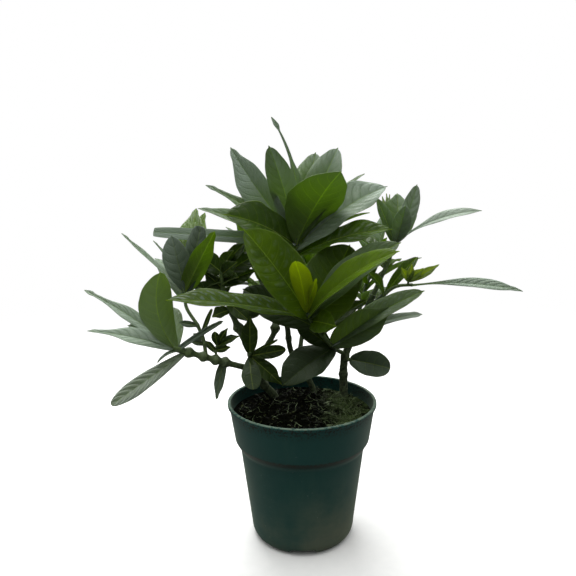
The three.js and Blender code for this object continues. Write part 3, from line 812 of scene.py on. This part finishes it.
def leaf_finish(name, deep, fresh, underside, glow, glow_share):
    """Glossy leaf skin: pale veins, quilted shading, a duller underside, light through it, and painted glare,
    gloss streaks and edge highlights
    """
    material, place = new_finish(name)
    top_side, tone, along, vein, haze, stripes, quilting = (
        carried(place, key) for key in ("top", "tone", "u", "vein", "haze", "stripes", "quilting"))
    flat = carried(place, "laid_flat", "Vector")
    edge = carried(place, "across_share").of("ABSOLUTE")
    # Painted glare: leaves far from the plant's middle, and leaves given more of it, are painted paler and
    # greyer, as if washed out by the bright light around them.
    outer = (place - glare_middle).of("LENGTH").ramp(*glare_reach)
    painted_glare = (outer * 0.8 + haze).at_most(1).at_least(0)
    shaded = (tone * -1).at_least(0)
    clouds = mottle(flat, 0.06, 4)
    speckle = mottle(flat, 1.3, 4)
    patches = mottle(flat, 0.16, 3).ramp(0.4, 0.6)
    net = flat.add("ShaderNodeTexVoronoi", {"Vector": flat, "Scale": 0.55}, feature="DISTANCE_TO_EDGE")
    small_vein = 1 - net["Distance"].ramp(0, 0.12)
    side_gap = (vein.of("FRACT") - 0.5).of("ABSOLUTE")
    side_vein = (1 - side_gap.ramp(0, 0.07)) * (1 - edge.ramp(0.6, 0.95))
    midrib = 1 - carried(place, "from_rib").ramp(0.2, 0.75)
    crest = (vein * math.pi).of("COSINE").of("ABSOLUTE") * (1 - edge.ramp(0.7, 1))
    # Painted gloss: pale streaks between the side veins, standing in for reflections on the glossy leaf.
    painted_gloss = crest.ramp(0.5, 0.95) * edge.ramp(0.02, 0.15) * (stripes - (1 - patches) * 0.5).at_least(0)
    upper = painted(
        tint(deep),
        ((clouds.ramp(0.3, 0.7) * 0.5 + tone - 0.25).at_least(0), fresh),
        (speckle.ramp(0.55, 0.8) * 0.25, deep),
        (small_vein * 0.14 + side_vein * 0.42, vein_green),
        (midrib * (0.9 - along * 0.3), rib_green),
        # Painted highlight: a pale line along the leaf's edge.
        (edge.ramp(0.93, 1) * 0.45, edge_highlight_green),
    )
    lower = blend((small_vein * 0.15 + side_vein * 0.5 + midrib).at_most(1), underside, lower_rib_green)
    relief = crest * (quilting / (1.5 * mm)) * 0.5 - side_vein * 0.5 - small_vein * 0.3 - speckle * 0.2
    skin = place.add("ShaderNodeBsdfPrincipled", {
        "Base Color": painted(
            lower,
            (top_side, upper),
            (shaded * 0.9, shaded_green),
            (painted_glare * (0.75 + clouds * 0.3), glare_grey),
            (haze.ramp(0.8, 1.6), pale_glare),
            (painted_gloss * (0.6 + speckle * 0.6), gloss_grey),
        ),
        "Roughness": 0.42 - top_side * 0.24 + speckle * 0.1 + painted_glare * 0.1 + shaded * 0.3,
        "Specular IOR Level": 0.25,
        "Normal": raised(relief, 1, 0.9 * mm),
    })
    lit = place.add("ShaderNodeBsdfTranslucent", {"Color": tint(glow)})
    thin = glow_share * (1 - shaded * 0.85) * (1 - painted_glare * 0.4) * (1 + midrib * 0.6 + side_vein * 0.3)
    surface = place.add("ShaderNodeMixShader", {0: thin, 1: skin, 2: lit})
    place.add("ShaderNodeOutputMaterial", {"Surface": surface})
    return material


finishes = {
    "leaf_green": leaf_finish("green leaf", 0x273c0e, 0x5a7a1a, 0x587424, 0xaccc28, 0.38),
    "leaf_bright": leaf_finish("bright leaf", 0x31480c, 0x648212, 0x627e1c, 0xb8d41c, 0.4),
    "leaf_dark": leaf_finish("dark old leaf", 0x1c2c10, 0x38501c, 0x445a2a, 0x84a024, 0.28),
    "leaf_new": leaf_finish("young leaf", 0x7c9404, 0x9cb40c, 0x96a818, 0xccde10, 0.56),
}

sky = Vector((0, 0, 1))
front = Vector((0, -1, 0.35))
back = Vector((0, 1, 0.35))
sky_front = Vector((0, -0.7, 1))
sky_back = Vector((0, 0.7, 1))
front_left = Vector((-0.7, -0.7, 0.4))
pointed = {"belly": 1.1, "fullness": 0.5, "neck": 0.5, "neck_at": 0.66}
tapered = {"belly": 1.05, "fullness": 0.56, "neck": 0.55, "neck_at": 0.52}
tailed = {"belly": 0.95, "fullness": 0.6, "neck": 0.76, "neck_at": 0.36}
blunt = {"belly": 1.3, "fullness": 0.44, "neck": 0.3, "neck_at": 0.76}
rounded = {"belly": 1.6, "fullness": 0.44, "neck": 0.0, "neck_at": 0.7}
strap = {"belly": 1.0, "fullness": 0.28, "neck": 0.3, "neck_at": 0.8}
squared = {"belly": 1.0, "fullness": 0.1, "neck": 0.0, "neck_at": 0.8}
stalked = {"belly": 1.7, "fullness": 1.1, "neck": 0.3, "neck_at": 0.8}
lance = {"belly": 0.8, "fullness": 0.5, "neck": 0.3, "neck_at": 0.6}
fold_angle = math.radians(17)
shoot_step = 0.6 * mm
shoot_swell = 0.2
knob_swell = 2.8 * mm
knob_reach = 4 * mm
golden_angle = 137.5
golden_share = 0.618
top_rise, low_rise = 68, 12
fine_steps = (73, 21)
small_steps = (25, 9)


def leaf(along, tip, width, facing, form=pointed, arch=0.05, **habits):
    """One leaf: its place on the stem from 0 to 1, its tip, and the way its upper side faces"""
    return along, Vector(tip), facing, {"width": width, "arch": arch, **form, **habits}


def whorls(line, start, end, count, turn, outward, length, width):
    """Leaves that follow a rule: whorl under whorl down the stem, the top ones nearly upright"""
    leaves = []
    for i in range(count):
        down = i / (count - 1)
        along = end + (start - end) * down
        azimuth = math.radians(turn + i * golden_angle)
        rise = math.radians(top_rise + (low_rise - top_rise) * down)
        shade = 0.5 - 0.5 * math.cos(azimuth - math.radians(outward))
        size = (1 - 0.2 * (i * golden_share % 1)) * (1 - 0.4 * shade)
        reach = Matrix.Rotation(azimuth, 3, "Z") @ Vector((math.cos(rise), 0, math.sin(rise)))
        tip = line[round(along * (len(line) - 1))] / mm + reach * length * size
        leaves.append(leaf(along, tip, width * size, sky))
    return leaves


def shoot(node, slot, radii, places, leaves, rule=None, old=0.0, knobs=(), steps=fine_steps):
    """Grow one leafy shoot in place of its CAD node"""
    line = smooth_line([Vector(place) * mm for place in places], shoot_step)
    last = len(line) - 1
    draw = random.Random(node)
    listed = leaves + (whorls(line, **rule) if rule else [])
    grown_leaves = []
    for along, tip, facing, form in listed:
        foot = line[round(along * last)]
        reach = tip * mm - foot
        across = facing.cross(reach).normalized()
        grown_leaves.append({
            "foot": foot,
            "reach": reach,
            "across": across,
            "face": reach.cross(across).normalized(),
            "seed": draw.random(),
            "tone": draw.uniform(0.25, 0.75),
            "twist": draw.uniform(-0.5, 0.5),
            "wave": draw.uniform(0.02, 0.09),
            "bend": draw.uniform(-0.02, 0.02),
            "droop": draw.uniform(0.0, 0.03),
            "quilting": draw.uniform(0.7, 1.4),
            "fold": fold_angle,
            # How much painted glare a leaf gets.
            "haze": 0.0,
            # How much painted gloss streaking a leaf gets.
            "stripes": 0.0,
            **form,
        })
        for key in ("width", "quilting"):
            grown_leaves[-1][key] *= mm
    ages = [old * (1 - i / last) for i in range(last + 1)]
    widths = swollen(last + 1, radii, [along for along, *_ in listed], shoot_swell)
    for knob in knobs:
        for i, place in enumerate(line):
            away = (place - line[round(knob * last)]).length
            widths[i] += knob_swell * math.exp(-(away / knob_reach) ** 2)
    mesh = skein(node + "_foliage", line, widths, ages, grown_leaves)
    piece = grown(link_piece(node + "_foliage", mesh), shoot_tree, {
        "Sides": 12,
        "Roughness": 0.5 * mm,
        "Bark": bark,
        "Blade": finishes[slot],
        "Steps Along": steps[0],
        "Steps Across": steps[1],
        "Thickness": 0.6 * mm,
        "Stalk": 1.1 * mm,
        "Vein Spacing": 9 * mm,
        "Rib": 0.5 * mm,
    })
    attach(piece, "root")
    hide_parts(node)


# The crown shoot stands on the middle trunk, and its whorls of large leaves make the plant's
# top. The upper leaves stand up and the lower ones spread out to all sides.
shoot("shoot_crown", "leaf_green", (2.8, 1.8), [
    (-15.1, 24.6, 219.7), (-10, 16, 246), (-6, 8, 281), (-4, 0, 314),
], [
    leaf(0.97, (-71, 28, 403), 34, front_left, haze=0.6, quilting=0.5),
    leaf(0.95, (-29, -22, 402), 28, back, blunt, arch=0.04, belly=1.15, tone=0.5, haze=0.4, twist=0.4),
    leaf(0.99, (-28, 24, 432), 17, Vector((0.4, -1, 0.1)), tailed, arch=0.04, bend=-0.08, haze=0.2),
    leaf(0.96, (16, 35, 398), 36, front, blunt, arch=0.04, belly=1.1),
    leaf(0.98, (38, 22, 402), 34, front, blunt, arch=0.06, haze=0.15),
    leaf(0.94, (37, -42, 379), 58, Vector((-0.3, 1, 0.7)), arch=0.06, fullness=0.66, neck_at=0.78, fold=0.2,
         tone=0.9, haze=0.12, twist=0),
    leaf(0.9, (-70, -35, 340), 44, Vector((0, -1, 1)), blunt, arch=0.08, tone=0, haze=-0.4),
    leaf(0.92, (-96, 25, 366), 20, sky_front, tapered, arch=0.04, haze=0.1),
    leaf(0.88, (-101, 5, 345), 22, sky_front, haze=0.2),
    leaf(0.87, (86, 15, 364), 46, sky_front, blunt, arch=0.08, haze=0.65, stripes=0.4, twist=-0.1,
         wave=0.12, quilting=1.2),
    leaf(0.8, (86, -25, 324), 31, sky_front, blunt, arch=0.08, stripes=0.2, wave=0.16),
    leaf(0.85, (67, 50, 376), 24, sky),
    leaf(0.82, (70, 28, 338), 30, sky, arch=0.06),
    leaf(0.9, (-10, 95, 368), 36, sky, arch=0.06),
    leaf(0.97, (-155, 35, 318), 13, front, squared, arch=0.02, tone=0.2, haze=0.9, fold=0.1, quilting=0.5,
         twist=0),
], old=0.4, knobs=[0.0])


# The front shoot grows low from the right trunk and leans towards the viewer. Its large bright
# leaves fill the middle of the plant, and old rounded ones hang at its foot.
shoot("shoot_front", "leaf_bright", (2.4, 1.8), [
    (47, 33, 184), (34, 17, 196), (17, -12, 223), (6, -38, 245),
], [
    leaf(0.95, (-118, -78, 270), 31, Vector((0, -0.45, 1)), blunt, arch=0.02, tone=0, haze=-0.7,
         stripes=0.36, twist=0.2, wave=0.12, quilting=2),
    leaf(0.97, (80, -95, 313), 32, sky_front, blunt, arch=0.06, belly=1.1, tone=0.8, haze=-0.4, twist=0),
    leaf(0.93, (91, -40, 314), 34, sky_front, blunt, arch=0.06, tone=-0.1, haze=0.2, twist=0),
    leaf(0.94, (-49, -66, 329), 50, Vector((0.6, -0.8, 0.15)), blunt, tone=0.2, haze=-0.35, stripes=0.17,
         quilting=1.1, twist=0.1),
    leaf(0.9, (49, 0, 307), 60, front, blunt, belly=0.8, tone=-0.25, haze=-0.3),
    leaf(0.85, (30, -70, 242), 24, front, blunt, tone=0),
    leaf(0.26, (-3, 5, 226), 22, front, rounded, tone=-0.9),
    leaf(0.28, (121, -10, 262), 27, sky_front, blunt, tone=0.1, haze=0.35, stripes=0.15, twist=0),
    leaf(0.31, (91, -5, 244), 34, front, arch=0.04, tone=-0.25, haze=0.25),
    leaf(0.24, (-19, -35, 174), 40, sky_front, blunt, arch=0.06, tone=-1, quilting=0.3, twist=0),
    leaf(0.55, (62, -34, 258), 24, sky_front, tone=-0.5),
    leaf(0.6, (44, 14, 258), 24, front, tone=-0.7),
    leaf(0.3, (124, 10, 234), 11, sky_front, strap, arch=0.12, tone=0.3, haze=1.25),
    leaf(0.7, (-60, 8, 262), 32, front, blunt, tone=-0.9),
], old=0.3)


# The left shoot rises from the far left branch and ends in a fan of upright leaves, with two
# narrow ones that curve away to the left.
shoot("shoot_left", "leaf_green", (2, 1.6), [
    (-96, -10, 195), (-99, -7, 212), (-104, -6, 226), (-116, -2, 246), (-116, 2, 264),
], [
    leaf(0.97, (-80, -28, 325), 22, back, lance, arch=-0.03, fullness=0.46, tone=0.7, haze=-0.3, twist=0),
    leaf(0.96, (-127, -4, 318), 28, front, blunt, tone=-0.7, quilting=0.7),
    leaf(0.9, (-99, 2, 326), 21, front, rounded, arch=0.03, fullness=0.3, tone=-0.8),
    leaf(0.99, (-184, 25, 319), 10, sky, arch=-0.04),
    leaf(0.92, (-147, 5, 312), 11, sky, arch=0.04),
    leaf(0.94, (-115, 72, 342), 30, front, tone=0.9, haze=-0.6),
    leaf(0.9, (-104, 66, 336), 26, front, tone=0.9, haze=-0.6),
    leaf(0.85, (-160, 60, 288), 32, sky),
    leaf(0.45, (-124, -4, 230), 7, front, tone=-0.6, quilting=0),
    leaf(0.25, (-109, -8, 219), 8, front, tone=-0.7, quilting=0),
    leaf(0.18, (-111, -14, 212), 6, front, tone=-0.7, quilting=0),
    leaf(0.3, (-90, 0, 243), 5, front, strap, arch=0.02, tone=-0.7, quilting=0),
], old=0.3)


# The middle left shoot goes on from the left trunk, in the plant's shade. Its leaves are small,
# dark and close together.
shoot("shoot_mid_left", "leaf_dark", (4, 1.5), [
    (-54.3, 17.9, 193.7), (-70, 18, 228), (-80, 12, 262), (-80, 10, 284),
], [
    leaf(0.98, (-67, 2, 302), 16, sky_back, arch=0.04),
    leaf(0.94, (-104, 18, 296), 22, front),
    leaf(0.9, (-44, 20, 296), 22, front),
    leaf(0.85, (-105, 28, 258), 24, sky_front),
    leaf(0.8, (-62, -6, 276), 18, sky_front),
    leaf(0.75, (-58, 54, 258), 28, sky),
    leaf(0.7, (-100, 66, 258), 28, sky),
    leaf(0.6, (-52, 4, 228), 18, sky_front),
    leaf(0.5, (-92, 8, 232), 16, sky_front),
    leaf(0.88, (-102, 40, 286), 22, sky_front),
    leaf(0.92, (-62, -12, 292), 16, front),
    leaf(0.45, (-38, 30, 240), 22, front),
    leaf(0.97, (-55, 20, 309), 14, front),
    leaf(0.82, (-46, 13, 280), 18, front),
    leaf(0.75, (-99, 14, 278), 14, front),
    leaf(0.7, (-113, 12, 265), 16, front),
], old=0.6, knobs=[0.28])


# The far left branch slants out of the left trunk, thick and knobby at its foot. It carries a
# tall yellow-green leaf, narrow ones to the left, and old leaves that hang below it.
shoot("shoot_far_left", "leaf_bright", (3.3, 2.6), [
    (-47, 22, 170), (-68, 9, 180), (-93, -8, 193), (-126, -28, 210),
], [
    leaf(0.97, (-129, -50, 290), 34, Vector((-0.42, 0.9, 0.35)), blunt, arch=0.04, bend=-0.11, tone=0.9,
         haze=-0.15, twist=0),
    leaf(0.96, (-217, -5, 265), 15, sky_front, tapered, arch=0.06, haze=0.15, stripes=0.5),
    leaf(0.98, (-202, -45, 233), 21, sky_front, tapered, arch=0.04, haze=0.75, stripes=0.6),
    leaf(0.85, (-183, -50, 160), 17, front, rounded, arch=0.06, haze=1.6, stripes=1.4, quilting=3.4,
         twist=0),
    leaf(0.92, (-171, -20, 232), 18, sky_front, blunt, arch=0.08, haze=0.1),
    leaf(0.94, (-77, -16, 234), 6, front, strap, arch=0.04, tone=-0.9, haze=0.2),
    leaf(0.42, (-87, -12, 150), 11, front, lance, arch=0.06, tone=-0.7, haze=0.1),
    leaf(0.9, (-139, -40, 199), 7, sky, blunt, arch=0.12, tone=-0.3),
    leaf(0.97, (-150, 45, 240), 26, sky),
], old=0.9, knobs=[0.4, 0.52, 0.66, 0.82])


# Three short twigs with a few old leaves: one low on the left trunk, one on the far left
# branch, and one low on the right trunk.
shoot("twig_low_left", "leaf_dark", (2, 1.6), [
    (-52, 19, 185), (-54, 10, 189), (-53, 6, 195),
], [
    leaf(0.9, (-52, 3, 234), 18, front, arch=0.04),
    leaf(0.7, (-16, -5, 201), 14, front, rounded),
    leaf(0.8, (-24, 8, 208), 4, front, strap, arch=0.04),
    leaf(0.6, (-49, -14, 162), 20, front, rounded, arch=0.06, haze=0.15, fold=0, quilting=0),
    leaf(0.7, (-20, -4, 163), 18, front, arch=0.06),
], old=0.9)
shoot("twig_left", "leaf_dark", (1.6, 1.2), [
    (-86, -3, 189.5), (-88, 1, 199), (-86, 4, 205),
], [
    leaf(0.9, (-88, -2, 219), 9, front, rounded),
    leaf(0.8, (-63, 5, 213), 12, sky_front),
    leaf(0.95, (-75, 2, 222), 8, front),
    leaf(0.6, (-72, -2, 203), 8, front),
    leaf(0.5, (-99, 2, 209), 7, front),
], old=0.8)
shoot("twig_low_right", "leaf_dark", (2, 1.8), [
    (47, 33, 177), (50, 26, 180), (52, 20, 182),
], [
    leaf(0.8, (91, 2, 178), 28, front, rounded, arch=0.08, belly=1.4, fullness=0.38, haze=0.3, quilting=0.3,
         twist=0),
], old=0.9)


# The right shoot goes on from the right trunk, and the low right shoot leaves it to the side
# with one long narrow leaf that reaches furthest out.
shoot("shoot_right", "leaf_green", (2.6, 1.6), [
    (76.3, 32, 249.7), (86, 32, 272), (100, 28, 308),
], [
    leaf(0.98, (181, 15, 338), 15, sky_front, stalked, arch=0.09, neck=0, haze=1.2, quilting=0.6,
         twist=0),
    leaf(0.97, (114, 5, 364), 17, front, blunt, arch=0.04, fullness=0.36, haze=1.2, twist=0),
    leaf(0.95, (102, -2, 344), 19, front, blunt, arch=0.04, haze=0.6, tone=0.9, twist=0),
    leaf(0.96, (102, 50, 355), 38, front, arch=0.04, tone=0.7),
    leaf(0.9, (77, 25, 351), 16, Vector((0.5, -1, 0.2)), blunt, arch=0.04, haze=0.2),
    leaf(0.6, (50, 62, 314), 32, sky),
    leaf(0.5, (100, 58, 284), 26, sky),
], old=0.5)
shoot("shoot_low_right", "leaf_green", (2.2, 1.5), [
    (69, 32, 233), (84, 24, 249), (98, 21, 260), (114, 15, 263),
], [
    leaf(0.98, (223, 5, 258), 16, sky_front, stalked, arch=0.04, haze=0.4, stripes=0.8, twist=0,
         quilting=1.4),
    leaf(0.5, (123, 36, 289), 14, sky_front, blunt, arch=0.06, haze=-0.3),
    leaf(0.45, (70, 12, 276), 14, sky_front, blunt, arch=0.06, haze=-0.3),
], old=0.4)


# Three shoots fill the back of the plant, one from each trunk. Their leaves follow a rule: they
# stand in a spiral and grow shorter where they point into the plant.
back_shoots = {
    "shoot_back_left": [
        [(-48, 21, 172), (-38, 28, 193), (-28, 34, 214), (-42, 58, 254), (-56, 80, 288)], 3.4, [0.34],
        {"start": 0.55, "end": 0.98, "count": 9, "turn": 90, "outward": 120, "length": 84, "width": 34}],
    "shoot_back": [
        [(-4, 41, 171), (-1, 52, 188), (3, 68, 212), (8, 92, 246), (14, 108, 268)], 2.8, [],
        {"start": 0.6, "end": 0.98, "count": 10, "turn": 75, "outward": 90, "length": 80, "width": 34}],
    "shoot_back_right": [
        [(47, 34, 176), (53, 43, 193), (62, 58, 218), (74, 78, 251), (84, 92, 276)], 2.8, [],
        {"start": 0.55, "end": 0.98, "count": 9, "turn": 20, "outward": 45, "length": 80, "width": 32}],
}
for name, (places, foot_thickness, knobs, rule) in back_shoots.items():
    shoot(name, "leaf_green", (foot_thickness, 1.6), places, [], rule, old=0.8, knobs=knobs)


# Young growth is soft and yellow-green: a new leaf in front of the front shoot, a few needles
# of unopened leaves behind the right shoot, and a small tuft on the low right one.
shoot("new_growth_front", "leaf_new", (1.2, 0.9), [
    (6, -38, 245), (5, -42, 250),
], [
    leaf(0.9, (-5, -76, 302), 20, back, blunt, arch=0.03),
    leaf(0.8, (14, -62, 284), 9, back, arch=0.03),
])
shoot("new_growth_right", "leaf_new", (1.2, 0.9), [
    (93, 30, 292), (96, 43, 306), (92, 48, 330),
], [
    leaf(0.95, (86, 48, 352), 5, front, arch=0.03, tone=0, haze=0.6),
    leaf(0.98, (91, 52, 355), 4, front, arch=0.03, tone=0, haze=0.6),
    leaf(0.98, (95, 54, 354), 4, front, arch=0.03, tone=0, haze=0.6),
], steps=small_steps)
shoot("new_growth_low_right", "leaf_new", (1.3, 1), [
    (110, 17, 263), (109, 12, 268),
], [
    leaf(0.9, (101, 8, 282), 7, front, tone=-0.05, haze=0.25),
    leaf(0.95, (111, 4, 286), 8, front, tone=-0.15, haze=0.25),
    leaf(0.9, (122, 2, 282), 9, front, tone=-0.1, haze=0.25),
    leaf(0.85, (137, 0, 286), 9, front, arch=0.04, tone=-0.05, haze=0.3),
], steps=small_steps)
